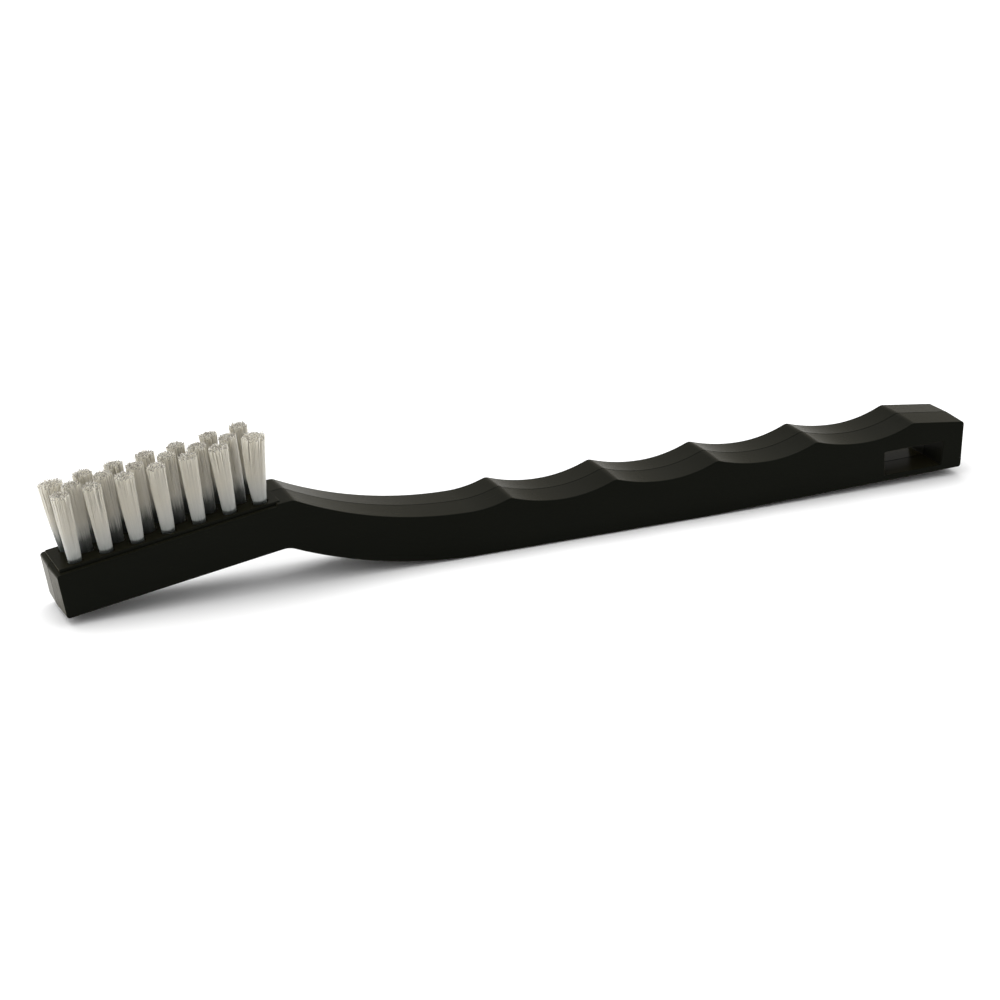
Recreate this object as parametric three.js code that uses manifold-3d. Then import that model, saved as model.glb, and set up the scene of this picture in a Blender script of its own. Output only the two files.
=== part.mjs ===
// A toothbrush-shaped cleaning brush: a one-piece moulded handle with finger ridges and a hanging slot, and
// a head that carries three staggered rows of nylon tufts. Each tuft is folded round a flat-wire anchor that
// sits across the bottom of its blind hole.
//
// Units are millimetres. +X runs from the head to the tail, +Z points to the bristle side and Y is the
// width. The origin is the middle of the straight back, the face that the brush lies on.

import * as THREE from "three";
import { mergeVertices } from "three/addons/utils/BufferGeometryUtils.js";
import Module from "manifold-3d";

const wasm = await Module();
wasm.setup();

// ---- driving dimensions -----------------------------------------------------------------------------

const WIDTH = 13;
const EDGE_ROUNDING = 0.4;
const EDGE_SEGMENTS = 2;

// Back of the handle, from the tail to the neck.
const STRAIGHT_BACK = 46; // length of the flat that touches the bench
const TAIL_X = 81.75; // top corner of the tail's end face
const TAIL_RISE = THREE.MathUtils.degToRad(1.44); // the back lifts this much towards the tail
const END_LEAN = THREE.MathUtils.degToRad(4.4); // of the end face, outwards from square to the tail's back
const BELLY_RADIUS = 95;
const THROAT_CUT = 1; // the corner under the neck is cut back this far along the head's underside

// Head: a parallel-sided bar that slopes up towards the neck.
const HEAD_TILT = THREE.MathUtils.degToRad(9);
const HEAD_END = new THREE.Vector2(-103.9, 9.92); // top corner of the head's end face
const HEAD_THICKNESS = 8.85;
const LEDGE_LENGTH = 41.8; // from the head's end to the step up to the neck
const PAD_HEIGHT = 0.42; // the tufted pad stands this far above the ledge round it
const PAD_ROOT = 1; // the pad reaches this far into the head, and past the step, to join it
const LEDGE_WIDTH = 1;

// Top of the handle: a crest at the neck, then hollows between ridges.
const CREST = new THREE.Vector2(-59.5, 17.25);
const CREST_DROP = 0.02; // from the crest down to the corner on its head side
const RIDGES = 5;
const RIDGE_X = -17;
const RIDGE_PITCH = 21.65;
const RIDGE_Z = 10.85;
const RIDGE_CLIMB = 0.2; // rise from one ridge to the next, which grows towards the tail
const RIDGE_CLIMB_GROWTH = 0.0625;
const RIDGE_LAND = 0.9; // length of the narrow land on top of a ridge
const LAND_DROP = 0.15; // from the top of a ridge down to the land's corners
const NECK_HOLLOW = new THREE.Vector2(-25, 9.35);
const HOLLOW_DEPTH = 1.9; // of the hollow between two ridges, below the line that joins them
const END_TOP_Z = 11.25; // height of the tail's end face at its top
const ARC_STEP = THREE.MathUtils.degToRad(5);

// Hanging slot.
const SLOT_LENGTH = 13; // along its floor
const SLOT_HEIGHT = 4.95;
const SLOT_WEB = 1.4; // below the slot
const SLOT_CORNER_RADIUS = 0.3;
const CORNER_SEGMENTS = 4;
const SLOT_END = 53.5; // from the end of the straight back to the slot's end wall, along its floor
const SLOT_END_LEAN = THREE.MathUtils.degToRad(6.4); // of that wall, outwards from square to the floor

// Tufts and their holes.
const ROW_SPACING = 3.1;
const TUFT_PITCH = 5.84;
const OUTER_ROW_TUFTS = 7;
const FIRST_TUFT = 4.55; // from the head's end to the first tuft of an outer row
const FAN_MIDDLE = THREE.MathUtils.degToRad(1); // lean towards the tail at the middle of the head
const FAN_STEP = THREE.MathUtils.degToRad(0.35); // further lean from one tuft to the next
const OUTWARD_LEAN = THREE.MathUtils.degToRad(2); // of the two outer rows, away from the middle
const HOLE_RADIUS = 1.42;
const HOLE_DEPTH = 5.4;
const TUFT_ROOT_RADIUS = 1.25;
const TUFT_ROOT_CHAMFER = 0.35;
const TUFT_TIP_RADIUS = 1.95;
const TUFT_TIP_CHAMFER = 0.45;
const HALFWAY_FLARE = 0.35; // share of the flare that a tuft has reached halfway up
const TRIM = 13.3; // free length of the bristle above the pad
const TUFT_LIFT = 0.1; // gap between the folded tuft and the hole's floor
const ROUND_SIDES = 16;

// Flat-wire anchors.
const ANCHOR_WIDTH = 3.2;
const ANCHOR_HEIGHT = 1.6;
const ANCHOR_THICKNESS = 0.35;
const ANCHOR_LIFT = 0.8; // from the hole's floor to the anchor
const ANCHOR_GAP = 0.05; // clearance all round an anchor

const OVERCUT = 1; // a cutter stands this far out of the face that it opens

// ---- materials --------------------------------------------------------------------------------------

function handlePlastic() {
  return new THREE.MeshStandardMaterial({ color: 0x161614, roughness: 0.35, metalness: 0 });
}

function bristleNylon() {
  return new THREE.MeshStandardMaterial({ color: 0xd8d6cc, roughness: 0.5, metalness: 0 });
}

function anchorWire() {
  return new THREE.MeshStandardMaterial({ color: 0xb08d4a, roughness: 0.4, metalness: 1 });
}

// ---- solids -----------------------------------------------------------------------------------------

function toSolid(geometry) {
  const bare = geometry.clone();
  bare.deleteAttribute("normal");
  bare.deleteAttribute("uv");
  const merged = mergeVertices(bare, 1e-4);
  return new wasm.Manifold(
    new wasm.Mesh({
      numProp: 3,
      vertProperties: merged.attributes.position.array,
      triVerts: new Uint32Array(merged.index.array),
    }),
  );
}

function toGeometry(solid) {
  const { vertProperties, triVerts } = solid.getMesh();
  return new THREE.BufferGeometry()
    .setAttribute("position", new THREE.BufferAttribute(vertProperties, 3))
    .setIndex(new THREE.BufferAttribute(triVerts, 1));
}

function box(x, y, z, centreX, centreY, centreZ) {
  return new THREE.BoxGeometry(x, y, z).translate(centreX, centreY, centreZ);
}

// ---- side profile -----------------------------------------------------------------------------------

function along(start, angle, distance) {
  return new THREE.Vector2(Math.cos(angle), Math.sin(angle)).multiplyScalar(distance).add(start);
}

// The first point, from the head's side, where the line through `point` at `angle` meets a circle.
function lineMeetsCircle(point, angle, centre, radius) {
  const toCentre = centre.clone().sub(point);
  const direction = new THREE.Vector2(Math.cos(angle), Math.sin(angle));
  const miss = toCentre.cross(direction);
  return along(point, angle, toCentre.dot(direction) - Math.sqrt(radius * radius - miss * miss));
}

// Points of the arc that leaves `low` level and ends at `end`, in order from `low`.
function arcFromLow(low, end) {
  const run = end.x - low.x;
  const rise = end.y - low.y;
  const radius = (run * run + rise * rise) / (2 * rise);
  const sweep = Math.asin(Math.abs(run) / radius);
  const steps = Math.max(2, Math.ceil(sweep / ARC_STEP));
  return Array.from({ length: steps + 1 }, (_, i) => {
    const angle = (sweep * i) / steps;
    return new THREE.Vector2(
      low.x + Math.sign(run) * radius * Math.sin(angle),
      low.y + radius * (1 - Math.cos(angle)),
    );
  });
}

// A hollow, from its right-hand end over its lowest point to its left-hand end.
function hollow(right, low, left) {
  return [...arcFromLow(low, right).reverse(), ...arcFromLow(low, left).slice(1)];
}

function ridge(number) {
  const climb = RIDGE_CLIMB * number + RIDGE_CLIMB_GROWTH * number * number;
  return new THREE.Vector2(RIDGE_X + RIDGE_PITCH * number, RIDGE_Z + climb);
}

// A corner of the land on a ridge or the crest. `side` is 1 towards the tail and -1 towards the head.
function landCorner(top, side, drop = LAND_DROP) {
  return new THREE.Vector2(top.x + (side * RIDGE_LAND) / 2, top.y - drop);
}

// A point of the tail, from the distance along its back and the height above it.
const tailStart = new THREE.Vector2(STRAIGHT_BACK / 2, 0);

function tailPoint(distance, height) {
  return along(along(tailStart, TAIL_RISE, distance), TAIL_RISE + Math.PI / 2, height);
}

// The tail's end face, from its bottom corner to its top one.
function tailEnd() {
  const top = new THREE.Vector2(TAIL_X, END_TOP_Z);
  const inTail = top.clone().sub(tailStart).rotateAround(new THREE.Vector2(), -TAIL_RISE);
  return [tailPoint(inTail.x - inTail.y * Math.tan(END_LEAN), 0), top];
}

// The top of the handle, from the last ridge to the head side of the crest.
function topPoints() {
  const points = [landCorner(ridge(RIDGES - 1), 1)];
  for (let i = RIDGES - 1; i > 0; i -= 1) {
    const right = landCorner(ridge(i), -1);
    const left = landCorner(ridge(i - 1), 1);
    const low = right.clone().lerp(left, 0.5);
    low.y -= HOLLOW_DEPTH;
    points.push(...hollow(right, low, left));
  }
  points.push(...hollow(landCorner(ridge(0), -1), NECK_HOLLOW, landCorner(CREST, 1)));
  points.push(landCorner(CREST, -1, CREST_DROP));
  return points;
}

function sideProfile() {
  const stepFoot = along(HEAD_END, HEAD_TILT, LEDGE_LENGTH);
  const stepTop = along(stepFoot, HEAD_TILT + Math.PI / 2, PAD_HEIGHT);
  const headBottom = along(HEAD_END, HEAD_TILT - Math.PI / 2, HEAD_THICKNESS);

  // The belly arc leaves the straight back level and meets the head's underside at the throat.
  const bellyStart = new THREE.Vector2(-STRAIGHT_BACK / 2, 0);
  const bellyCentre = new THREE.Vector2(bellyStart.x, BELLY_RADIUS);
  const throat = lineMeetsCircle(headBottom, HEAD_TILT, bellyCentre, BELLY_RADIUS);
  const belly = arcFromLow(bellyStart, throat).reverse();

  return [
    tailStart,
    ...tailEnd(),
    ...topPoints(),
    stepTop,
    stepFoot,
    HEAD_END,
    headBottom,
    along(throat, HEAD_TILT + Math.PI, THROAT_CUT),
    ...belly.slice(1),
  ];
}

// ---- places on the head -----------------------------------------------------------------------------

// The head's frame: x along it from its end, y across it, z up from the pad's top face.
const headFrame = new THREE.Matrix4()
  .makeTranslation(HEAD_END.x, 0, HEAD_END.y)
  .multiply(new THREE.Matrix4().makeRotationY(-HEAD_TILT))
  .multiply(new THREE.Matrix4().makeTranslation(0, 0, PAD_HEIGHT));

const rows = [
  { name: "near", side: -1 },
  { name: "middle", side: 0 },
  { name: "far", side: 1 },
];

// One place for each tuft, with its own frame: z is the hole's axis and the origin is the hole's mouth.
const places = rows.flatMap(({ name, side }) => {
  const count = side === 0 ? OUTER_ROW_TUFTS - 1 : OUTER_ROW_TUFTS;
  const stagger = side === 0 ? 0.5 : 0;
  return Array.from({ length: count }, (_, i) => {
    const step = i + stagger;
    const fan = FAN_MIDDLE + FAN_STEP * (step - (OUTER_ROW_TUFTS - 1) / 2);
    const frame = new THREE.Matrix4()
      .makeTranslation(FIRST_TUFT + TUFT_PITCH * step, side * ROW_SPACING, 0)
      .premultiply(headFrame)
      .multiply(new THREE.Matrix4().makeRotationY(fan))
      .multiply(new THREE.Matrix4().makeRotationX(-side * OUTWARD_LEAN));
    return { name: `${name}_${i + 1}`, frame };
  });
});

// ---- handle -----------------------------------------------------------------------------------------

function bodyGeometry() {
  return new THREE.ExtrudeGeometry(new THREE.Shape(sideProfile()), {
    depth: WIDTH - 2 * EDGE_ROUNDING,
    bevelSize: EDGE_ROUNDING,
    bevelOffset: -EDGE_ROUNDING,
    bevelThickness: EDGE_ROUNDING,
    bevelSegments: EDGE_SEGMENTS,
  })
    .rotateX(Math.PI / 2)
    .translate(0, WIDTH / 2 - EDGE_ROUNDING, 0);
}

function padGeometry() {
  const length = LEDGE_LENGTH - LEDGE_WIDTH + PAD_ROOT;
  const height = PAD_HEIGHT + PAD_ROOT;
  return box(length, WIDTH - 2 * LEDGE_WIDTH, height, LEDGE_WIDTH + length / 2, 0, -height / 2).applyMatrix4(
    headFrame,
  );
}

// A closed outline through the corners, each of them rounded.
function roundedShape(corners, radius) {
  const shape = new THREE.Shape();
  corners.forEach((corner, i) => {
    const before = corners.at(i - 1).clone().sub(corner).setLength(radius).add(corner);
    const after = corners[(i + 1) % corners.length].clone().sub(corner).setLength(radius).add(corner);
    if (i === 0) shape.moveTo(before.x, before.y);
    else shape.lineTo(before.x, before.y);
    shape.quadraticCurveTo(corner.x, corner.y, after.x, after.y);
  });
  return shape.closePath();
}

function slotCutter() {
  const top = SLOT_WEB + SLOT_HEIGHT;
  const corners = [
    tailPoint(SLOT_END - SLOT_LENGTH, SLOT_WEB),
    tailPoint(SLOT_END, SLOT_WEB),
    tailPoint(SLOT_END + SLOT_HEIGHT * Math.tan(SLOT_END_LEAN), top),
    tailPoint(SLOT_END - SLOT_LENGTH, top),
  ];
  const depth = WIDTH + 2 * OVERCUT;
  return new THREE.ExtrudeGeometry(roundedShape(corners, SLOT_CORNER_RADIUS), {
    depth,
    bevelEnabled: false,
    curveSegments: CORNER_SEGMENTS,
  })
    .rotateX(Math.PI / 2)
    .translate(0, depth / 2, 0);
}

function holeCutter() {
  return new THREE.CylinderGeometry(HOLE_RADIUS, HOLE_RADIUS, HOLE_DEPTH + OVERCUT, ROUND_SIDES)
    .rotateX(Math.PI / 2)
    .translate(0, 0, (OVERCUT - HOLE_DEPTH) / 2);
}

// A block in an anchor's place, `width` across the head and with `gap` added to its other sides.
function anchorBlock(width, gap) {
  return box(
    ANCHOR_THICKNESS + 2 * gap,
    width,
    ANCHOR_HEIGHT + 2 * gap,
    0,
    0,
    ANCHOR_LIFT - HOLE_DEPTH + ANCHOR_HEIGHT / 2,
  );
}

function handleGeometry() {
  let solid = toSolid(bodyGeometry()).add(toSolid(padGeometry())).subtract(toSolid(slotCutter()));
  for (const { frame } of places) {
    const hole = holeCutter().applyMatrix4(frame);
    const notch = anchorBlock(ANCHOR_WIDTH + 2 * ANCHOR_GAP, ANCHOR_GAP).applyMatrix4(frame);
    solid = solid.subtract(toSolid(hole)).subtract(toSolid(notch));
  }
  return toGeometry(solid);
}

// ---- tufts and anchors ------------------------------------------------------------------------------

// A tuft is a bundle that fills its hole and flares above the pad. A window near its root takes the anchor.
function tuftGeometry() {
  const root = TUFT_LIFT - HOLE_DEPTH;
  const halfwayRadius = THREE.MathUtils.lerp(TUFT_ROOT_RADIUS, TUFT_TIP_RADIUS, HALFWAY_FLARE);
  const profile = [
    new THREE.Vector2(0, root),
    new THREE.Vector2(TUFT_ROOT_RADIUS - TUFT_ROOT_CHAMFER, root),
    new THREE.Vector2(TUFT_ROOT_RADIUS, root + TUFT_ROOT_CHAMFER),
    new THREE.Vector2(TUFT_ROOT_RADIUS, 0),
    new THREE.Vector2(halfwayRadius, TRIM / 2),
    new THREE.Vector2(TUFT_TIP_RADIUS, TRIM - TUFT_TIP_CHAMFER),
    new THREE.Vector2(TUFT_TIP_RADIUS - TUFT_TIP_CHAMFER, TRIM),
    new THREE.Vector2(0, TRIM),
  ];
  const bundle = new THREE.LatheGeometry(profile, ROUND_SIDES).rotateX(Math.PI / 2);
  const window = anchorBlock(2 * (TUFT_ROOT_RADIUS + OVERCUT), ANCHOR_GAP);
  return toGeometry(toSolid(bundle).subtract(toSolid(window)));
}

function anchorGeometry() {
  return anchorBlock(ANCHOR_WIDTH, 0);
}

// ---- assembly ---------------------------------------------------------------------------------------

function named(name, geometry, material) {
  const mesh = new THREE.Mesh(geometry, material);
  mesh.name = name;
  return mesh;
}

const brush = new THREE.Group();
brush.add(named("handle", handleGeometry(), handlePlastic()));
for (const { name, frame } of places) {
  const place = new THREE.Group();
  place.applyMatrix4(frame);
  place.add(named(`tuft_${name}`, tuftGeometry(), bristleNylon()));
  place.add(named(`anchor_${name}`, anchorGeometry(), anchorWire()));
  brush.add(place);
}

export default brush;
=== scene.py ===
# A toothbrush-shaped cleaning brush: a moulded black handle and twenty tufts of white nylon filament.
#
# Lengths are in metres. +X runs from the head to the tail, +Z points to the bristle side and Y is the
# width. The handle is drafted both ways from a parting line at the middle of its width.

import math
import random

import bmesh
import bpy
from mathutils import Matrix, Vector
from mathutils.geometry import delaunay_2d_cdt


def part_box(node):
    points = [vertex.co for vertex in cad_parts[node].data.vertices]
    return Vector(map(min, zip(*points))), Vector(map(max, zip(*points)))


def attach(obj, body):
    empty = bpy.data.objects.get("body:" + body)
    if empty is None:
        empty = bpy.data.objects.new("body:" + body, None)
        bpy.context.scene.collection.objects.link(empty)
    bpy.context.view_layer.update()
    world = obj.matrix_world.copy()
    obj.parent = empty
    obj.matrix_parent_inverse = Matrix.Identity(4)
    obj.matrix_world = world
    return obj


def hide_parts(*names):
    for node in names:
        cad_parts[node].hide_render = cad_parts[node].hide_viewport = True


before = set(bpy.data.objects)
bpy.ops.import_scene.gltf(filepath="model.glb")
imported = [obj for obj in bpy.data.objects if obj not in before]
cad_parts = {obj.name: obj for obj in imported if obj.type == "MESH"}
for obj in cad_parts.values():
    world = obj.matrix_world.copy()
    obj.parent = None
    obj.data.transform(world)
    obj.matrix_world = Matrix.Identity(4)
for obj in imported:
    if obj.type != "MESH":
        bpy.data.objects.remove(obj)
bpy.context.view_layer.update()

# ---- driving dimensions -----------------------------------------------------------------------------

MM = 0.001
HANDLE_LOW, HANDLE_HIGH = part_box("handle")
HALF_WIDTH = HANDLE_HIGH.y
HEAD_X = HANDLE_LOW.x
TAIL_X = HANDLE_HIGH.x

# The moulding: how its sides taper and how its edges are rounded.
DRAFT = math.tan(math.radians(1.8))  # inset of a wall for each unit of width from the parting line
SIDE_ROUNDING = 0.28 * MM
TAIL_SIDE_ROUNDING = 0.4 * MM
TAIL_ROUNDING_REACH = 2 * MM  # the side edges get rounder over this length before the tail's end
ROUNDING_STEPS = 5
PARTING_HALF_WIDTH = 0.13 * MM
PARTING_DEPTH = 0.08 * MM
CORNER_STEP = math.radians(7)
CORNER_CLEARANCE = 1.2  # a rounded corner replaces the points within this many of its own reaches
ARC_STEP = math.radians(1)
INSIDE_ONLY = 1  # makes delaunay_2d_cdt leave out the triangles outside the outer loop
CDT_MARGIN = 1e-6
SLIVER = 0.0002 * MM
HANDLE_SHARP_ANGLE = math.radians(28)

# Back of the handle.
STRAIGHT_BACK = 46 * MM  # length of the flat that touches the bench
TAIL_RISE = math.radians(1.44)  # the back lifts this much towards the tail
END_LEAN = math.radians(4.4)  # of the end face, outwards from square to the tail's back
BELLY_RADIUS = 95 * MM
THROAT_RADIUS = 4 * MM
END_CORNER_RADIUS = 0.8 * MM

# Head.
HEAD_TILT = math.radians(9)
HEAD_END = Vector((HEAD_X, 9.92 * MM))
HEAD_THICKNESS = 8.85 * MM
LEDGE_LENGTH = 41.8 * MM  # from the head's end to the step up to the neck
LEDGE_WIDTH = 1 * MM
STEP_FOOT_RADIUS = 0.12 * MM
STEP_TOP_RADIUS = 0.15 * MM
STEP_REACH = 1.2 * MM  # this near to the step's foot, the wall is inset along the head's own up
PAD_HEIGHT = 0.42 * MM  # the tufted pad stands this far above the ledge round it
PAD_ROOT = 1 * MM  # the pad reaches this far into the head, and past the step
PAD_ROUNDING = 0.3 * MM
PAD_CORNER_RADIUS = 0.4 * MM

# Top of the handle.
CREST = Vector((-59.5 * MM, 17.25 * MM))
CREST_RADIUS = 2.6 * MM
RIDGES = 5
RIDGE_X = -17 * MM
RIDGE_PITCH = 21.65 * MM
RIDGE_Z = 10.91 * MM  # of the first ridge's corner, before it is rounded
RIDGE_CLIMB = 0.2 * MM  # rise from one ridge to the next, which grows towards the tail
RIDGE_CLIMB_GROWTH = 0.0625 * MM
RIDGE_RADIUS = 2 * MM
HOLLOW_DEPTH = 2.11 * MM  # of the hollow between two ridges, below the line that joins their corners
NECK_HOLLOW = Vector((-25 * MM, 9.35 * MM))
END_TOP_Z = 11.25 * MM  # of the tail's end face at its top

# Hanging slot.
SLOT_LENGTH = 13 * MM  # along its floor
SLOT_HEIGHT = 4.95 * MM
SLOT_WEB = 1.4 * MM  # below the slot
SLOT_END = 53.5 * MM  # from the end of the straight back to the slot's end wall, along its floor
SLOT_END_LEAN = math.radians(6.4)
SLOT_CORNER_RADIUS = 0.3 * MM
SLOT_MOUTH_ROUNDING = 0.2 * MM

# Holes, tufts and the anchors that the tufts fold round.
ROW_SPACING = 3.1 * MM
TUFT_PITCH = 5.84 * MM
OUTER_ROW_TUFTS = 7
FIRST_TUFT = 4.55 * MM  # from the head's end to the first tuft of an outer row
FAN_MIDDLE = math.radians(1)  # lean towards the tail at the middle of the head
FAN_STEP = math.radians(0.35)  # further lean from one tuft to the next
OUTWARD_LEAN = math.radians(2)  # of the two outer rows, away from the middle
HOLE_RADIUS = 1.42 * MM
HOLE_DEPTH = 5.4 * MM
HOLE_CHAMFER = 0.18 * MM
HOLE_SIDES = 40
ANCHOR_WIDTH = 3.2 * MM
ANCHOR_HEIGHT = 1.6 * MM
ANCHOR_THICKNESS = 0.35 * MM
ANCHOR_LIFT = 0.8 * MM  # from the hole's floor to the anchor
ANCHOR_GAP = 0.05 * MM  # clearance all round an anchor
OVERCUT = 1 * MM  # a hole's cutter stands this far out of the pad

# Filaments.
FILAMENT_RADIUS = 0.07 * MM
FILAMENT_SIDES = 5
FILAMENT_PITCH = 0.146 * MM  # from one filament to the next at the mouth
RING_SHIFT = 0.25  # of a pitch, each ring against the next
BUNDLE_RADIUS = 1.17 * MM
SPREAD = 0.3  # how much wider a tuft is at its tips than at its mouth, as a share
SPREAD_SCATTER = 0.05
LEANING_TUFT = "near_7"
END_TUFTS = (LEANING_TUFT, "far_1")  # one at each end of the head, splayed more than the others
END_SPREAD = 0.75  # of those two
RIM_SPREAD = 0.07  # extra share in the last stretch below the tips
RIM_START = 0.86
FREE_STEPS = (0, 0.06, 0.16, 0.28, 0.42, 0.64, 0.86, 0.985, 1)  # shares of the free length, at each ring
TIP_HEIGHT = 12.85 * MM
TIP_SCATTER = 0.18 * MM
TIP_LIMIT = 13.12 * MM  # no filament's centre line goes higher
TIP_CROWN = 0.25 * MM  # the middle of a tuft stands this far above its rim
TUFT_BEND = 0.12 * MM  # sideways at the tips, of a whole tuft
TAIL_END_BEND = 0.7 * MM  # the same, towards the tail, of the leaning tuft
TIP_WANDER = 0.06 * MM  # of one filament against its neighbours
STRAY_WANDER = 0.13 * MM  # the same, of a stray filament
STRAY_SHARE = 0.07  # of the filaments
FOLD_SHOULDER = 0.6  # a filament turns under its anchor at this share of its distance from the middle
FILAMENT_SHARP_ANGLE = math.radians(65)
ROOT_SHADE_SHARES = {"near": 0.06, "middle": 0.36, "far": 0.32}  # share of the free length with painted shade, where the tufts shade their own roots
ROOT_SHADE_SCATTER = 0.5  # by which that share differs from one filament to the next
MAIN_SEED = 41

# ---- mesh helpers -----------------------------------------------------------------------------------


def add_object(name, vertices, faces):
    mesh = bpy.data.meshes.new(name)
    mesh.from_pydata([tuple(v) for v in vertices], [], faces)
    mesh.validate()
    mesh.update()
    piece = bpy.data.objects.new(name, mesh)
    bpy.context.scene.collection.objects.link(piece)
    return piece


def shade_by_angle(piece, sharp_angle):
    mesh = piece.data
    mesh.shade_smooth()
    mesh.set_sharp_from_angle(angle=sharp_angle)


def closed_volume(piece):
    """The mesh's volume. It stops the script if the mesh is open, or if any face is turned inwards."""
    shape = bmesh.new()
    shape.from_mesh(piece.data)
    closed = all(edge.is_manifold and edge.is_contiguous for edge in shape.edges)
    volume = shape.calc_volume(signed=True)
    shape.free()
    if not closed or volume <= 0:
        raise RuntimeError(f"{piece.name} isn't a closed solid: closed {closed}, volume {volume}")
    return volume


def drop_slivers(piece):
    """Dissolves the faces without area that booleans leave, and checks that the mesh is still closed."""
    shape = bmesh.new()
    shape.from_mesh(piece.data)
    bmesh.ops.dissolve_degenerate(shape, dist=SLIVER, edges=shape.edges)
    shape.to_mesh(piece.data)
    shape.free()
    closed_volume(piece)


def cut_or_join(target, other, operation):
    """Applies a boolean to target and removes the other object."""
    before = closed_volume(target)
    closed_volume(other)
    modifier = target.modifiers.new(operation.title(), "BOOLEAN")
    modifier.operation = operation
    modifier.solver = "EXACT"
    modifier.object = other
    evaluated = target.evaluated_get(bpy.context.evaluated_depsgraph_get())
    mesh = bpy.data.meshes.new_from_object(evaluated)
    target.modifiers.clear()
    target.data = mesh
    after = closed_volume(target)
    if (after > before) != (operation == "UNION"):
        raise RuntimeError(f"{operation} with {other.name} changed the volume from {before} to {after}")
    bpy.data.objects.remove(other)


def loft(rings, close_ends=True):
    """Vertices and faces of a tube through rings that have the same number of points."""
    count = len(rings[0])
    vertices = [point for ring in rings for point in ring]
    faces = []
    for ring in range(len(rings) - 1):
        low, high = ring * count, (ring + 1) * count
        for i in range(count):
            j = (i + 1) % count
            faces.append((low + i, low + j, high + j, high + i))
    if close_ends:
        faces.append(tuple(reversed(range(count))))
        faces.append(tuple(range(len(vertices) - count, len(vertices))))
    return vertices, faces


def add_copy(vertices, faces, shape, place):
    """Adds a shape, moved to its place, to longer lists of vertices and faces."""
    offset = len(vertices)
    vertices += [place @ v for v in shape[0]]
    faces += [tuple(offset + i for i in face) for face in shape[1]]


# ---- side outline -----------------------------------------------------------------------------------


def along(start, angle, distance):
    return start + Vector((math.cos(angle), math.sin(angle))) * distance


def arc_from_low(low, end):
    """Points of the arc that leaves low level and ends at end, in order from low."""
    run, rise = end - low
    radius = (run * run + rise * rise) / (2 * rise)
    sweep = math.asin(abs(run) / radius)
    steps = max(2, math.ceil(sweep / ARC_STEP))
    side = math.copysign(radius, run)
    angles = [sweep * i / steps for i in range(steps + 1)]
    return [low + Vector((side * math.sin(a), radius * (1 - math.cos(a)))) for a in angles]


def hollow(right, low, left):
    return arc_from_low(low, right)[::-1] + arc_from_low(low, left)[1:]


def ridge(number):
    climb = RIDGE_CLIMB * number + RIDGE_CLIMB_GROWTH * number * number
    return Vector((RIDGE_X + RIDGE_PITCH * number, RIDGE_Z + climb))


def line_meets_circle(point, angle, centre, radius):
    """The first point, from the head's side, where the line through point at angle meets a circle."""
    to_centre = centre - point
    direction = Vector((math.cos(angle), math.sin(angle)))
    miss = to_centre.x * direction.y - to_centre.y * direction.x
    return along(point, angle, to_centre.dot(direction) - math.sqrt(radius**2 - miss**2))


def rounded_loop(runs):
    """Joins runs of points, each given with the radius of the corner at its end, into a closed loop."""
    corners = []
    for (points, radius), (following, _) in zip(runs, runs[1:] + runs[:1]):
        corner = points[-1]
        back = (points[-2] - corner).normalized()
        ahead = (following[1] - corner).normalized()
        half = back.angle(ahead) / 2
        corners.append((corner, back, ahead, half, radius, radius / math.tan(half)))

    loop = []
    for i, (points, _) in enumerate(runs):
        start, *_, start_reach = corners[i - 1]
        corner, back, ahead, half, radius, reach = corners[i]
        for point in points[1:-1]:
            clear_of_start = (point - start).length > start_reach * CORNER_CLEARANCE
            clear_of_corner = (point - corner).length > reach * CORNER_CLEARANCE
            if clear_of_start and clear_of_corner:
                loop.append(point)
        if radius == 0:
            loop.append(corner)
            continue
        centre = corner + (back + ahead).normalized() * (radius / math.sin(half))
        first, last = corner + back * reach - centre, corner + ahead * reach - centre
        sweep = first.angle_signed(last)
        steps = max(2, math.ceil(abs(sweep) / CORNER_STEP))
        for step in range(steps + 1):
            turn = -sweep * step / steps
            loop.append(centre + Matrix.Rotation(turn, 2) @ first)
    return loop


def rounded_polygon(corners, radius):
    sides = zip(corners, corners[1:] + corners[:1])
    return rounded_loop([([a, b], radius) for a, b in sides])


def loop_normals(loop):
    """The direction out of an anticlockwise loop at each of its points."""
    ways = [loop[(i + 1) % len(loop)] - loop[i - 1] for i in range(len(loop))]
    return [Vector((way.y, -way.x)).normalized() for way in ways]


def tail_point(distance, height):
    """A point of the tail, from the distance along its back and the height above it."""
    foot = along(Vector((STRAIGHT_BACK / 2, 0)), TAIL_RISE, distance)
    return along(foot, TAIL_RISE + math.pi / 2, height)


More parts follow.
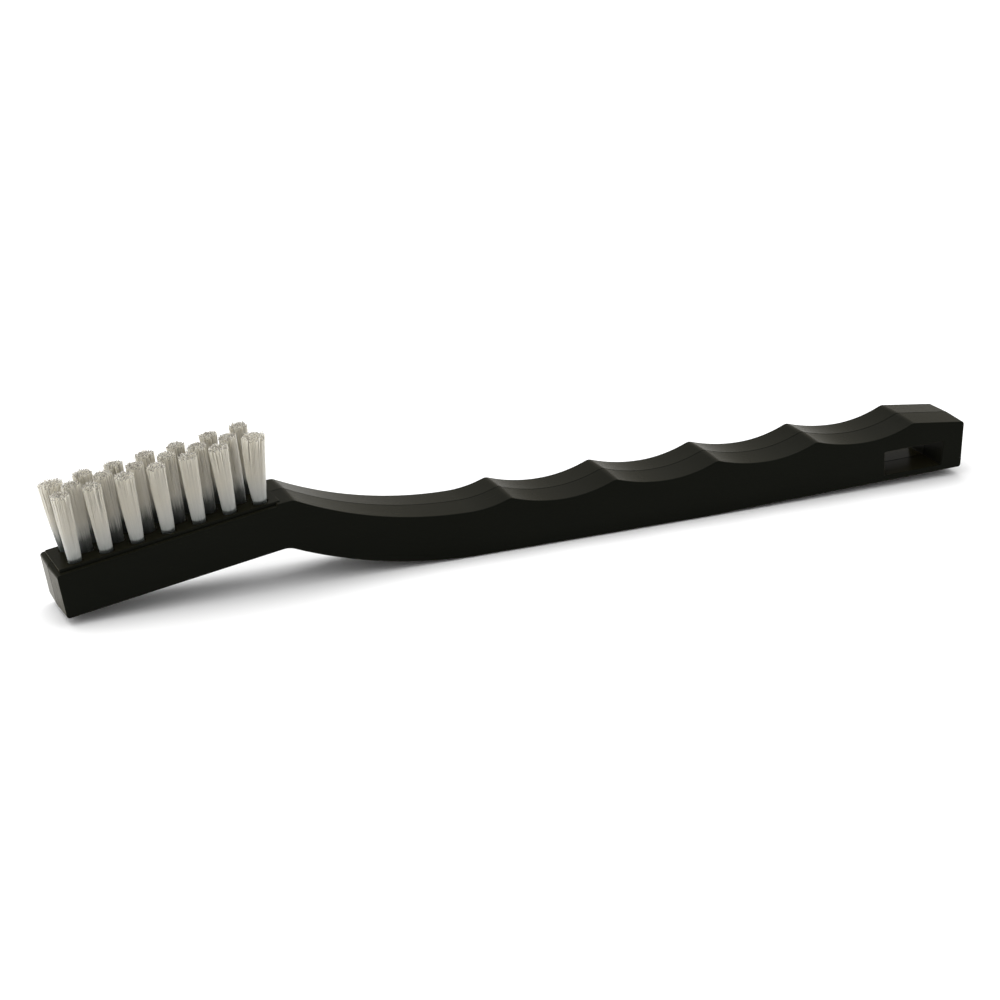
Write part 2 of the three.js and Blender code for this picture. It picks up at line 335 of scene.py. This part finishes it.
def side_outline():
    """The handle seen from the side, at the parting line, anticlockwise with x to the right and z up."""
    tail_start = tail_point(0, 0)
    tail_top = Vector((TAIL_X, END_TOP_Z))
    in_tail = Matrix.Rotation(-TAIL_RISE, 2) @ (tail_top - tail_start)
    tail_bottom = tail_point(in_tail.x - in_tail.y * math.tan(END_LEAN), 0)

    runs = [
        ([tail_start, tail_bottom], END_CORNER_RADIUS),
        ([tail_bottom, tail_top], END_CORNER_RADIUS),
        ([tail_top, ridge(RIDGES - 1)], RIDGE_RADIUS),
    ]
    for number in range(RIDGES - 1, 0, -1):
        right, left = ridge(number), ridge(number - 1)
        low = right.lerp(left, 0.5) - Vector((0, HOLLOW_DEPTH))
        runs.append((hollow(right, low, left), RIDGE_RADIUS))
    runs.append((hollow(ridge(0), NECK_HOLLOW, CREST), CREST_RADIUS))

    step_foot = along(HEAD_END, HEAD_TILT, LEDGE_LENGTH)
    step_top = along(step_foot, HEAD_TILT + math.pi / 2, PAD_HEIGHT)
    head_bottom = along(HEAD_END, HEAD_TILT - math.pi / 2, HEAD_THICKNESS)
    runs.append(([CREST, step_top], STEP_TOP_RADIUS))
    runs.append(([step_top, step_foot], STEP_FOOT_RADIUS))
    runs.append(([step_foot, HEAD_END], END_CORNER_RADIUS))
    runs.append(([HEAD_END, head_bottom], END_CORNER_RADIUS))

    belly_start = -tail_start
    belly_centre = Vector((belly_start.x, BELLY_RADIUS))
    throat = line_meets_circle(head_bottom, HEAD_TILT, belly_centre, BELLY_RADIUS)
    runs.append(([head_bottom, throat], THROAT_RADIUS))
    runs.append((arc_from_low(belly_start, throat)[::-1], 0))
    runs.append(([belly_start, tail_start], 0))
    return rounded_loop(runs)


def wall_normals(outline):
    """The direction out of the material at each point. Round the step it is the head's own up."""
    step = along(HEAD_END, HEAD_TILT, LEDGE_LENGTH)
    head_up = Vector((-math.sin(HEAD_TILT), math.cos(HEAD_TILT)))
    normals = loop_normals(outline)
    return [head_up if (p - step).length < STEP_REACH else n for p, n in zip(outline, normals)]


# ---- handle -----------------------------------------------------------------------------------------


def side_rounding(point):
    """The side edges are rounder near the tail's end."""
    share = max(0, 1 - (TAIL_X - point.x) / TAIL_ROUNDING_REACH)
    return SIDE_ROUNDING + (TAIL_SIDE_ROUNDING - SIDE_ROUNDING) * share


def wall_stations(rounding, full_draft=0):
    """(y, cut) from the +Y side to the -Y side for a wall that is drafted both ways from the parting line.

    The cut is how far the material stands back from the wall's outline. The outline is the wall at the
    parting line, or at the two sides when the draft up to them is given.
    """
    half = []
    for i in range(ROUNDING_STEPS + 1):
        angle = math.pi / 2 * i / ROUNDING_STEPS
        y = HALF_WIDTH - rounding * (1 - math.cos(angle))
        half.append((y, DRAFT * y - full_draft + rounding * (1 - math.sin(angle))))
    half.append((PARTING_HALF_WIDTH, -full_draft))
    return half + [(0, PARTING_DEPTH - full_draft)] + [(-y, cut) for y, cut in reversed(half)]


def slot_outline():
    top = SLOT_WEB + SLOT_HEIGHT
    corners = [
        tail_point(SLOT_END - SLOT_LENGTH, SLOT_WEB),
        tail_point(SLOT_END, SLOT_WEB),
        tail_point(SLOT_END + SLOT_HEIGHT * math.tan(SLOT_END_LEAN), top),
        tail_point(SLOT_END - SLOT_LENGTH, top),
    ]
    return rounded_polygon(corners, SLOT_CORNER_RADIUS)


def moulding():
    """The handle before the pad and the holes: outer wall, slot wall and the two flat sides."""
    outline = side_outline()
    normals = wall_normals(outline)
    per_point = [wall_stations(side_rounding(p)) for p in outline]
    rings = []
    for stations in zip(*per_point):
        ring = []
        for point, normal, (y, cut) in zip(outline, normals, stations):
            place = point - normal * cut
            ring.append(Vector((place.x, y, place.y)))
        rings.append(ring)
    vertices, faces = loft(rings, close_ends=False)

    slot = slot_outline()
    slot_normals = loop_normals(slot)
    slot_rings = []
    for y, cut in wall_stations(SLOT_MOUTH_ROUNDING, DRAFT * HALF_WIDTH):
        places = [p + n * cut for p, n in zip(slot, slot_normals)]
        slot_rings.append([Vector((p.x, y, p.y)) for p in places])
    slot_vertices, slot_faces = loft(slot_rings, close_ends=False)
    offset = len(vertices)
    vertices += slot_vertices
    faces += [tuple(offset + i for i in reversed(face)) for face in slot_faces]

    last_outer, last_slot = offset - len(outline), len(vertices) - len(slot)
    for outer_start, slot_start, side in ((0, offset, 1), (last_outer, last_slot, -1)):
        outer = list(range(outer_start, outer_start + len(outline)))
        inner = list(range(slot_start, slot_start + len(slot)))
        faces += flat_side(vertices, outer, inner, side)
    return add_object("handle_body", vertices, faces)


def flat_side(vertices, outer, inner, side):
    """Triangles between two closed loops in a plane across Y, facing side * Y. The inner one is convex."""
    indices = outer + inner
    places = [Vector((vertices[i].x, vertices[i].z)) / MM for i in indices]
    edges = []
    for start, count in ((0, len(outer)), (len(outer), len(inner))):
        edges += [(start + i, start + (i + 1) % count) for i in range(count)]
    _, _, triangles, sources, _, _ = delaunay_2d_cdt(places, edges, [], INSIDE_ONLY, CDT_MARGIN)
    faces = []
    for triangle in triangles:
        corners = [sources[i][0] for i in triangle]
        if min(corners) >= len(outer):
            continue  # inside the inner loop
        a, b, c = [indices[i] for i in corners]
        turned = (vertices[b] - vertices[a]).cross(vertices[c] - vertices[a]).y * side < 0
        faces.append((a, c, b) if turned else (a, b, c))
    return faces


def head_frame():
    """x along the head from its end, y across it, z up from the pad's top face."""
    place = Matrix.Translation((HEAD_END.x, 0, HEAD_END.y))
    return place @ Matrix.Rotation(-HEAD_TILT, 4, "Y") @ Matrix.Translation((0, 0, PAD_HEIGHT))


def pad():
    """The raised, flat-topped pad that the tufts stand in."""
    left, right = LEDGE_WIDTH, LEDGE_LENGTH + PAD_ROOT
    half = HALF_WIDTH - LEDGE_WIDTH
    corners = [
        Vector((left, -half)),
        Vector((right, -half)),
        Vector((right, half)),
        Vector((left, half)),
    ]
    loop = rounded_polygon(corners, PAD_CORNER_RADIUS)
    normals = loop_normals(loop)
    levels = [(-PAD_HEIGHT - PAD_ROOT, 0)]
    for i in range(ROUNDING_STEPS + 1):
        angle = math.pi / 2 * i / ROUNDING_STEPS
        levels.append((-PAD_ROUNDING * (1 - math.sin(angle)), PAD_ROUNDING * (1 - math.cos(angle))))
    rings = []
    for z, inset in levels:
        rings.append([Vector((*(p - n * inset), z)) for p, n in zip(loop, normals)])
    vertices, faces = loft(rings)
    to_head = head_frame()
    return add_object("pad", [to_head @ v for v in vertices], faces)


def hole_cutter():
    """Vertices and faces of one hole, chamfered at its mouth."""
    profile = [
        (HOLE_RADIUS, -HOLE_DEPTH),
        (HOLE_RADIUS, -HOLE_CHAMFER),
        (HOLE_RADIUS + HOLE_CHAMFER, 0),
        (HOLE_RADIUS + HOLE_CHAMFER, OVERCUT),
    ]
    angles = [2 * math.pi * i / HOLE_SIDES for i in range(HOLE_SIDES)]
    rings = [[Vector((r * math.cos(a), r * math.sin(a), z)) for a in angles] for r, z in profile]
    return loft(rings)


def notch_cutter():
    """Vertices and faces of the room that an anchor takes, with its clearance."""
    half_x = ANCHOR_THICKNESS / 2 + ANCHOR_GAP
    half_y = ANCHOR_WIDTH / 2 + ANCHOR_GAP
    low = ANCHOR_LIFT - HOLE_DEPTH - ANCHOR_GAP
    high = low + ANCHOR_HEIGHT + 2 * ANCHOR_GAP
    square = [(-half_x, -half_y), (half_x, -half_y), (half_x, half_y), (-half_x, half_y)]
    return loft([[Vector((x, y, z)) for x, y in square] for z in (low, high)])


def at_places(name, shape, places):
    """One object that holds a copy of the shape at every tuft's place."""
    vertices, faces = [], []
    for _, place in places:
        add_copy(vertices, faces, shape, place)
    return add_object(name, vertices, faces)


def tuft_places():
    """(name, matrix) of each tuft. Its z is the hole's axis and its origin the hole's mouth."""
    places = []
    for row, side in (("near", -1), ("middle", 0), ("far", 1)):
        count = OUTER_ROW_TUFTS if side else OUTER_ROW_TUFTS - 1
        stagger = 0 if side else 0.5
        for i in range(count):
            step = i + stagger
            fan = FAN_MIDDLE + FAN_STEP * (step - (OUTER_ROW_TUFTS - 1) / 2)
            place = (
                head_frame()
                @ Matrix.Translation((FIRST_TUFT + TUFT_PITCH * step, side * ROW_SPACING, 0))
                @ Matrix.Rotation(fan, 4, "Y")
                @ Matrix.Rotation(-side * OUTWARD_LEAN, 4, "X")
            )
            places.append((f"{row}_{i + 1}", place))
    return places


def build_handle(places):
    handle = moulding()
    cut_or_join(handle, pad(), "UNION")
    cut_or_join(handle, at_places("holes", hole_cutter(), places), "DIFFERENCE")
    cut_or_join(handle, at_places("notches", notch_cutter(), places), "DIFFERENCE")
    drop_slivers(handle)
    shade_by_angle(handle, HANDLE_SHARP_ANGLE)
    weighted = handle.modifiers.new("Normals", "WEIGHTED_NORMAL")
    weighted.keep_sharp = True
    return handle


# ---- tufts ------------------------------------------------------------------------------------------


def bundle_spots():
    """(right, left) places of each folded filament at the mouth, in rings from the outside inwards."""
    spots = []
    for ring in range(int(BUNDLE_RADIUS / FILAMENT_PITCH)):
        radius = BUNDLE_RADIUS - ring * FILAMENT_PITCH
        count = int(math.pi * radius / FILAMENT_PITCH)
        shift = RING_SHIFT if ring % 2 else -RING_SHIFT
        for i in range(count):
            ends = []
            for side in (1, -1):
                angle = math.pi * ((i + 0.5 + side * shift) / count - 0.5)
                ends.append((side * radius * math.cos(angle), radius * math.sin(angle)))
            spots.append(ends)
    return spots


def free_end(x, y, spread, bend, chance):
    """Points of a filament above the pad, from the mouth to its tip."""
    reach = math.hypot(x, y) / BUNDLE_RADIUS
    height = TIP_HEIGHT + TIP_CROWN * (0.5 - reach * reach) + chance.gauss(0, TIP_SCATTER)
    height = min(height, TIP_LIMIT)
    amount = STRAY_WANDER if chance.random() < STRAY_SHARE else TIP_WANDER
    tip_x, tip_y = bend.x + chance.gauss(0, amount), bend.y + chance.gauss(0, amount)
    points = []
    for share in FREE_STEPS:
        rim = max(0, share - RIM_START) / (1 - RIM_START)
        widen = 1 + spread * share * (2 - share) + RIM_SPREAD * rim
        place = (x * widen + tip_x * share * share, y * widen + tip_y * share * share, height * share)
        points.append(Vector(place))
    return points


def folded_filament(right, left, spread, bend, chance):
    """Centre line of a filament that goes down one side of the anchor, under it and up the other."""
    anchor_low = ANCHOR_LIFT - HOLE_DEPTH
    beside = ANCHOR_THICKNESS / 2 + ANCHOR_GAP + FILAMENT_RADIUS
    under = anchor_low - ANCHOR_GAP - FILAMENT_RADIUS
    deepest = 2 * FILAMENT_RADIUS - HOLE_DEPTH
    low = under + (deepest - under) * right[0] / BUNDLE_RADIUS
    outer = beside + right[0] * (BUNDLE_RADIUS - beside) / BUNDLE_RADIUS
    fold = [
        Vector((outer, right[1], anchor_low + ANCHOR_HEIGHT)),
        Vector((outer, right[1], anchor_low)),
        Vector((outer * FOLD_SHOULDER, right[1], low + FILAMENT_RADIUS)),
        Vector((0, (right[1] + left[1]) / 2, low)),
        Vector((-outer * FOLD_SHOULDER, left[1], low + FILAMENT_RADIUS)),
        Vector((-outer, left[1], anchor_low)),
        Vector((-outer, left[1], anchor_low + ANCHOR_HEIGHT)),
    ]
    return free_end(*right, spread, bend, chance)[::-1] + fold + free_end(*left, spread, bend, chance)


def tube(points):
    """Rings of a filament along points that all turn in nearly one plane."""
    across = Vector((0, 1, 0))
    rings = []
    for i, point in enumerate(points):
        way = points[min(i + 1, len(points) - 1)] - points[max(i - 1, 0)]
        side = way.cross(across).normalized()
        up = way.cross(side).normalized()
        angles = [2 * math.pi * k / FILAMENT_SIDES for k in range(FILAMENT_SIDES)]
        rings.append([point + (side * math.cos(a) + up * math.sin(a)) * FILAMENT_RADIUS for a in angles])
    return rings


def build_tuft(name, place, seed):
    """One tuft. Each point carries its filament's tone, its height and its way out of the painted shade at
    the root.
    """
    chance = random.Random(seed)
    spread = chance.gauss(END_SPREAD if name in END_TUFTS else SPREAD, SPREAD_SCATTER)
    bend = Vector((chance.gauss(0, TUFT_BEND), chance.gauss(0, TUFT_BEND)))
    if name == LEANING_TUFT:
        bend.x += TAIL_END_BEND
    # Painted shade at the tuft's root, deeper in the middle and far rows, which the other tufts shade.
    root_shade_share = ROOT_SHADE_SHARES[name.split("_")[0]]
    vertices, faces, tones, heights, out_of_root_shade = [], [], [], [], []
    for right, left in bundle_spots():
        points = folded_filament(right, left, spread, bend, chance)
        add_copy(vertices, faces, loft(tube(points)), place)
        tone = chance.random()
        tones += [tone] * len(points) * FILAMENT_SIDES
        inside = [0] * (len(points) - 2 * len(FREE_STEPS))
        shares = [*reversed(FREE_STEPS), *inside, *FREE_STEPS]
        heights += [share for share in shares for _ in range(FILAMENT_SIDES)]
        reach = root_shade_share * (1 + ROOT_SHADE_SCATTER * (tone - 0.5))
        out_of_root_shade += [min(1, share / reach) for share in shares for _ in range(FILAMENT_SIDES)]
    tuft = add_object("filaments_" + name, vertices, faces)
    for label, values in (("tone", tones), ("height", heights), ("root", out_of_root_shade)):
        attribute = tuft.data.attributes.new(label, "FLOAT", "POINT")
        attribute.data.foreach_set("value", values)
    closed_volume(tuft)
    shade_by_angle(tuft, FILAMENT_SHARP_ANGLE)
    return tuft


# ---- materials --------------------------------------------------------------------------------------

# A noise is its scale, its detail and its stretch along each axis. A ramp is a row of places and their
# colours. A roughness is its least and its most. A bump is its distance and its strength.
PLASTIC_FLOW = (60, 4, (0.35, 1, 1))
PLASTIC_MARKS = (1500, 3, (0.02, 1, 0.25))
PLASTIC_COLOURS = ((0.3, (0.0042, 0.0047, 0.0036)), (0.7, (0.0056, 0.0062, 0.0048)))
PLASTIC_ROUGHNESS = (0.12, 0.32)
PLASTIC_IOR = 1.075  # far below that of a real plastic, for a dull black
PLASTIC_HIGHLIGHT = (1, 0.96, 0.83, 1)
PLASTIC_SHEEN = 0.08
PLASTIC_SHEEN_ROUGHNESS = 0.35
PLASTIC_SHEEN_COLOUR = (1, 0.82, 0.3, 1)
PLASTIC_BUMP = (0.02 * MM, 0.3)

# The nylon's own cooler and creamier tints. The darker colour towards the root is painted shade.
NYLON_BY_HEIGHT = (
    (0.0, (0.42, 0.45, 0.43)),
    (0.25, (0.57, 0.56, 0.50)),
    (0.5, (0.70, 0.65, 0.53)),
    (1.0, (0.73, 0.68, 0.55)),
)
# Painted shade at the roots, where the tufts shade one another and the black pad shows through.
NYLON_ROOT_SHADE = ((0, (0.07, 0.075, 0.07)), (0.5, (0.15, 0.16, 0.155)), (1, (1, 1, 1)))
NYLON_SHADES = (0.93, 1.0)  # of the darkest and the lightest filament
CUT_END_START = 0.985  # shares of the free length between which the cut end begins
CUT_END_FULL = 0.995
CUT_END_BY_TONE = ((0.3, (1, 1, 1)), (0.45, (0.1, 0.09, 0.08)))  # many cut ends look dark and the rest don't
NYLON_STREAKS = (900, 3, (1, 1, 0.08))
NYLON_ROUGHNESS = (0.28, 0.5)
NYLON_IOR = 1.53
NYLON_SUBSURFACE = 0.8
NYLON_SUBSURFACE_DEPTH = 1 * MM

WIRE_MARKS = (2500, 3, (1, 0.05, 1))
WIRE_COLOURS = ((0.3, (0.42, 0.28, 0.10)), (0.7, (0.66, 0.48, 0.21)))
WIRE_ROUGHNESS = (0.22, 0.42)
WIRE_BUMP = (0.005 * MM, 0.3)

FLOOR_COLOUR = (0.95, 0.95, 0.95, 1)
FLOOR_ROUGHNESS = 0.9
FLOOR_SPECULAR = 0.1


def fill_ramp(ramp, stops):
    """Sets a colour ramp's stops, each a place and its colour."""
    elements = ramp.color_ramp.elements
    while len(elements) < len(stops):
        elements.new(0.5)  # any place will do, because the loop below sets it
    for element, (position, colour) in zip(elements, stops):
        element.position = position
        element.color = (*colour, 1)


class Nodes:
    """A material's node tree, with short calls for what the finishes below are made of."""

    def __init__(self, name):
        self.material = bpy.data.materials.new(name)
        self.material.use_nodes = True
        self.tree = self.material.node_tree
        self.shader = self.tree.nodes["Principled BSDF"]

    def add(self, kind, **values):
        node = self.tree.nodes.new(kind)
        for key, value in values.items():
            setattr(node, key, value)
        return node

    def link(self, output, target):
        self.tree.links.new(output, target)

    def set(self, name, value):
        self.shader.inputs[name].default_value = value

    def noise(self, scale, detail, stretch):
        place = self.add("ShaderNodeTexCoord")
        mapping = self.add("ShaderNodeMapping")
        mapping.inputs["Scale"].default_value = stretch
        texture = self.add("ShaderNodeTexNoise")
        texture.inputs["Scale"].default_value = scale
        texture.inputs["Detail"].default_value = detail
        self.link(place.outputs["Object"], mapping.inputs["Vector"])
        self.link(mapping.outputs["Vector"], texture.inputs["Vector"])
        return texture.outputs["Fac"]

    def spread(self, value, low, high):
        node = self.add("ShaderNodeMapRange")
        node.inputs["To Min"].default_value = low
        node.inputs["To Max"].default_value = high
        self.link(value, node.inputs["Value"])
        return node.outputs["Result"]

    def step(self, value, start, end):
        node = self.add("ShaderNodeMapRange")
        node.inputs["From Min"].default_value = start
        node.inputs["From Max"].default_value = end
        self.link(value, node.inputs["Value"])
        return node.outputs["Result"]

    def multiply(self, colour, other, share=None):
        node = self.add("ShaderNodeMix", data_type="RGBA", blend_type="MULTIPLY")
        node.inputs["Factor"].default_value = 1
        if share is not None:
            self.link(share, node.inputs["Factor"])
        self.link(colour, node.inputs["A"])
        self.link(other, node.inputs["B"])
        return node.outputs["Result"]

    def ramp(self, value, stops):
        node = self.add("ShaderNodeValToRGB")
        fill_ramp(node, stops)
        self.link(value, node.inputs["Fac"])
        return node.outputs["Color"]

    def bump(self, value, distance, strength):
        node = self.add("ShaderNodeBump")
        node.inputs["Distance"].default_value = distance
        node.inputs["Strength"].default_value = strength
        self.link(value, node.inputs["Height"])
        self.link(node.outputs["Normal"], self.shader.inputs["Normal"])


def handle_plastic():
    """Satin black moulded plastic with a faint flow pattern and fine marks along its length."""
    nodes = Nodes("handle_plastic")
    flow = nodes.noise(*PLASTIC_FLOW)
    marks = nodes.noise(*PLASTIC_MARKS)
    nodes.link(nodes.ramp(flow, PLASTIC_COLOURS), nodes.shader.inputs["Base Color"])
    nodes.link(nodes.spread(marks, *PLASTIC_ROUGHNESS), nodes.shader.inputs["Roughness"])
    nodes.set("IOR", PLASTIC_IOR)
    nodes.set("Specular Tint", PLASTIC_HIGHLIGHT)
    nodes.set("Sheen Weight", PLASTIC_SHEEN)
    nodes.set("Sheen Roughness", PLASTIC_SHEEN_ROUGHNESS)
    nodes.set("Sheen Tint", PLASTIC_SHEEN_COLOUR)
    nodes.bump(marks, *PLASTIC_BUMP)
    return nodes.material


def bristle_nylon():
    """Natural white nylon: cooler at the root and creamier above, darkened towards the root by painted shade,
    with many dark cut ends.
    """
    nodes = Nodes("bristle_nylon")
    height = nodes.add("ShaderNodeAttribute", attribute_name="height")
    tone = nodes.add("ShaderNodeAttribute", attribute_name="tone")
    root = nodes.add("ShaderNodeAttribute", attribute_name="root")
    body = nodes.ramp(height.outputs["Fac"], NYLON_BY_HEIGHT)
    # painted shade at the roots
    painted_root_shade = nodes.ramp(root.outputs["Fac"], NYLON_ROOT_SHADE)
    shade = nodes.spread(tone.outputs["Fac"], *NYLON_SHADES)
    toned = nodes.multiply(nodes.multiply(body, painted_root_shade), shade)
    at_tip = nodes.step(height.outputs["Fac"], CUT_END_START, CUT_END_FULL)
    cut_end = nodes.ramp(tone.outputs["Fac"], CUT_END_BY_TONE)
    nodes.link(nodes.multiply(toned, cut_end, at_tip), nodes.shader.inputs["Base Color"])
    streaks = nodes.noise(*NYLON_STREAKS)
    nodes.link(nodes.spread(streaks, *NYLON_ROUGHNESS), nodes.shader.inputs["Roughness"])
    nodes.set("IOR", NYLON_IOR)
    nodes.set("Subsurface Weight", NYLON_SUBSURFACE)
    nodes.set("Subsurface Radius", (1, 1, 1))
    nodes.set("Subsurface Scale", NYLON_SUBSURFACE_DEPTH)
    return nodes.material


def anchor_wire():
    """Cut brass wire, slightly dulled, with fine drawing marks along it."""
    nodes = Nodes("anchor_wire")
    marks = nodes.noise(*WIRE_MARKS)
    nodes.link(nodes.ramp(marks, WIRE_COLOURS), nodes.shader.inputs["Base Color"])
    nodes.link(nodes.spread(marks, *WIRE_ROUGHNESS), nodes.shader.inputs["Roughness"])
    nodes.set("Metallic", 1)
    nodes.bump(marks, *WIRE_BUMP)
    return nodes.material


def floor_paint():
    nodes = Nodes("floor_paint")
    nodes.set("Base Color", FLOOR_COLOUR)
    nodes.set("Roughness", FLOOR_ROUGHNESS)
    nodes.set("Specular IOR Level", FLOOR_SPECULAR)
    return nodes.material


# ---- stage, light and camera ------------------------------------------------------------------------

FLOOR_HALF = 6  # half of the floor's side
# Softboxes: place, width and height, and power in watts. Both face the origin.
OVERHEAD = ((-0.1, 0.35, 0.9), (1.2, 0.8), 6.5)
LEFT_FILL = ((-0.8, -0.3, 0.5), (0.6, 0.6), 1.2)
SKY_STRENGTH = 1.08
SKY_SHARES = ((0, 0.78), (0.1, 0.72), (0.26, 0.42), (0.45, 0.75), (0.8, 1))  # (height, share of the strength)
CAMERA_AZIMUTH = math.radians(22.41)
CAMERA_ELEVATION = math.radians(20.46)
CAMERA_ROLL = math.radians(-1.09)
CAMERA_TARGET = Vector((-16.34 * MM, 0.57 * MM, 7.76 * MM))
CAMERA_DISTANCE = 514.2 * MM
CAMERA_LENS = 97.62
CAMERA_SENSOR = 36
CAMERA_NEAR_CLIP = 0.01


def build_floor():
    half = FLOOR_HALF
    corners = [(-half, -half, 0), (half, -half, 0), (half, half, 0), (-half, half, 0)]
    floor = add_object("floor", corners, [(0, 1, 2, 3)])
    floor.data.materials.append(floor_paint())


def add_softbox(name, place, size, power):
    light = bpy.data.lights.new(name, "AREA")
    light.shape = "RECTANGLE"
    light.size, light.size_y = size
    light.energy = power
    lamp = bpy.data.objects.new(name, light)
    lamp.location = place
    lamp.rotation_mode = "QUATERNION"
    lamp.rotation_quaternion = (-Vector(place)).to_track_quat("-Z", "Y")
    bpy.context.scene.collection.objects.link(lamp)


def build_light():
    add_softbox("overhead", *OVERHEAD)
    add_softbox("left_fill", *LEFT_FILL)
    world = bpy.data.worlds.new("studio")
    world.use_nodes = True
    tree = world.node_tree
    way = tree.nodes.new("ShaderNodeTexCoord")
    split = tree.nodes.new("ShaderNodeSeparateXYZ")
    sky = tree.nodes.new("ShaderNodeValToRGB")
    fill_ramp(sky, [(height, (share, share, share)) for height, share in SKY_SHARES])
    tree.links.new(way.outputs["Generated"], split.inputs["Vector"])
    tree.links.new(split.outputs["Z"], sky.inputs["Fac"])
    background = tree.nodes["Background"]
    background.inputs["Strength"].default_value = SKY_STRENGTH
    tree.links.new(sky.outputs["Color"], background.inputs["Color"])
    bpy.context.scene.world = world
    bpy.context.scene.view_settings.view_transform = "Standard"


def build_camera():
    forward = Vector(
        (
            math.sin(CAMERA_AZIMUTH) * math.cos(CAMERA_ELEVATION),
            math.cos(CAMERA_AZIMUTH) * math.cos(CAMERA_ELEVATION),
            -math.sin(CAMERA_ELEVATION),
        )
    )
    data = bpy.data.cameras.new("camera")
    data.sensor_width = CAMERA_SENSOR
    data.lens = CAMERA_LENS
    data.clip_start = CAMERA_NEAR_CLIP
    camera = bpy.data.objects.new("camera", data)
    level = forward.to_track_quat("-Z", "Y").to_matrix().to_4x4()
    place = Matrix.Translation(CAMERA_TARGET - forward * CAMERA_DISTANCE)
    camera.matrix_world = place @ level @ Matrix.Rotation(CAMERA_ROLL, 4, "Z")
    bpy.context.scene.collection.objects.link(camera)
    bpy.context.scene.camera = camera


# ---- assembly ---------------------------------------------------------------------------------------


def give_material(piece, material):
    piece.data.materials.clear()
    piece.data.materials.append(material)


def finish_piece(piece, material):
    give_material(piece, material)
    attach(piece, "root")


places = tuft_places()
handle = build_handle(places)
finish_piece(handle, handle_plastic())
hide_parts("handle")

nylon = bristle_nylon()
brass = anchor_wire()
for index, (name, place) in enumerate(places):
    tuft = build_tuft(name, place, MAIN_SEED + index)
    finish_piece(tuft, nylon)
    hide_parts("tuft_" + name)
    give_material(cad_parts["anchor_" + name], brass)

build_floor()
build_light()
build_camera()
